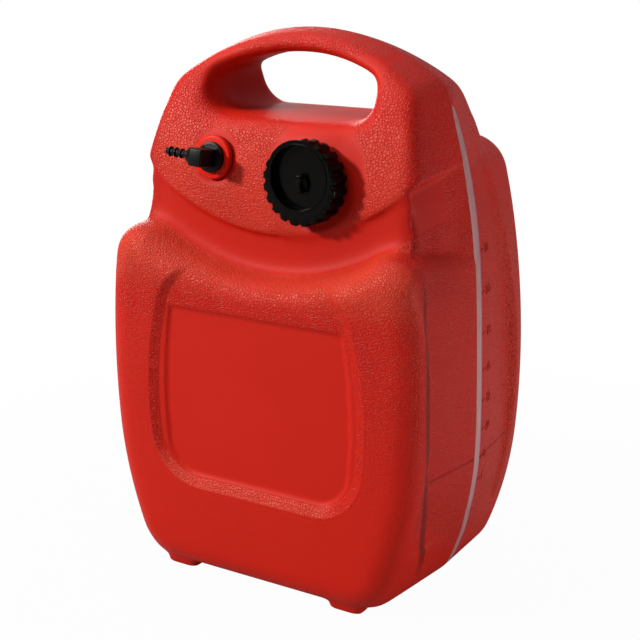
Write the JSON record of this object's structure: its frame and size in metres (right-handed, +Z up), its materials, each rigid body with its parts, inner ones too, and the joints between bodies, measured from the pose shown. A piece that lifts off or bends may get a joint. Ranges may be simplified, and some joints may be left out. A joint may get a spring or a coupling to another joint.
{
  "type": "portable fuel tank",
  "caption": "Tall moulded plastic fuel tank with an arched carrying handle, a lobed screw cap with a vent screw, and a swivelling elbow with a barbed hose tail.",
  "frame": {"origin": "on the floor, in the mould's parting plane, in the middle of the tank's width", "axes": "+X to the right as seen from the front, +Y to the back, +Z up; the filler and the outlet face -Y"},
  "size_m": [0.351, 0.215, 0.498],
  "materials": {
    "red_polyethylene": "leather-grained blow-moulded polyethylene, smooth on the collar, seats and label recess",
    "translucent_polyethylene": "natural polyethylene that shows the fuel level",
    "black_polypropylene": "injection-moulded, satin with glossy lobes",
    "red_bush": "smooth and glossy",
    "black_nylon": "glass-filled nylon, satin",
    "nitrile_rubber": "moulded seal",
    "hose_rubber": "extruded fuel hose",
    "spring_steel": "zinc plated",
    "gauze": "woven stainless gauze"
  },
  "bodies": {
    "root": {"tank_shell": "red_polyethylene", "level_strip": "translucent_polyethylene", "outlet_bush": "red_bush", "outlet_gasket": "nitrile_rubber", "elbow_clip": "spring_steel", "pickup_tube": "hose_rubber", "tube_clip": "spring_steel", "strainer_cage": "black_nylon", "strainer_mesh": "gauze"},
    "cap_carrier": {"cap_gasket": "nitrile_rubber"},
    "cap": {"filler_cap": "black_polypropylene", "splash_baffle": "black_polypropylene"},
    "vent_carrier": {"vent_seal": "nitrile_rubber"},
    "vent": {"vent_screw": "black_polypropylene", "vent_clip": "spring_steel"},
    "elbow": {"outlet_elbow": "black_nylon", "elbow_o_ring": "nitrile_rubber"}
  },
  "joints": [
    {"name": "cap_lift", "type": "slide", "parent": "root", "child": "cap_carrier", "axis": [0, -1, 0], "range_m": [0, 0.012]},
    {"name": "cap_turn", "type": "hinge", "parent": "cap_carrier", "child": "cap", "pos_m": [0.0396, -0.0695, 0.3752], "axis": [0, -1, 0], "range_deg": [0, 1080]},
    {"name": "vent_lift", "type": "slide", "parent": "cap", "child": "vent_carrier", "axis": [0, -1, 0], "range_m": [0, 0.003]},
    {"name": "vent_turn", "type": "hinge", "parent": "vent_carrier", "child": "vent", "pos_m": [0.0396, -0.0829, 0.3752], "axis": [0, -1, 0], "range_deg": [0, 720]},
    {"name": "elbow_swivel", "type": "hinge", "parent": "root", "child": "elbow", "pos_m": [-0.0625, -0.07196, 0.38723], "axis": [0, -0.9925, 0.1219], "continuous": true}
  ],
  "couplings": [
    {"joint": "cap_turn", "follows": "cap_lift", "rad_per_m": 1570.8},
    {"joint": "vent_turn", "follows": "vent_lift", "rad_per_m": 4188.8}
  ]
}
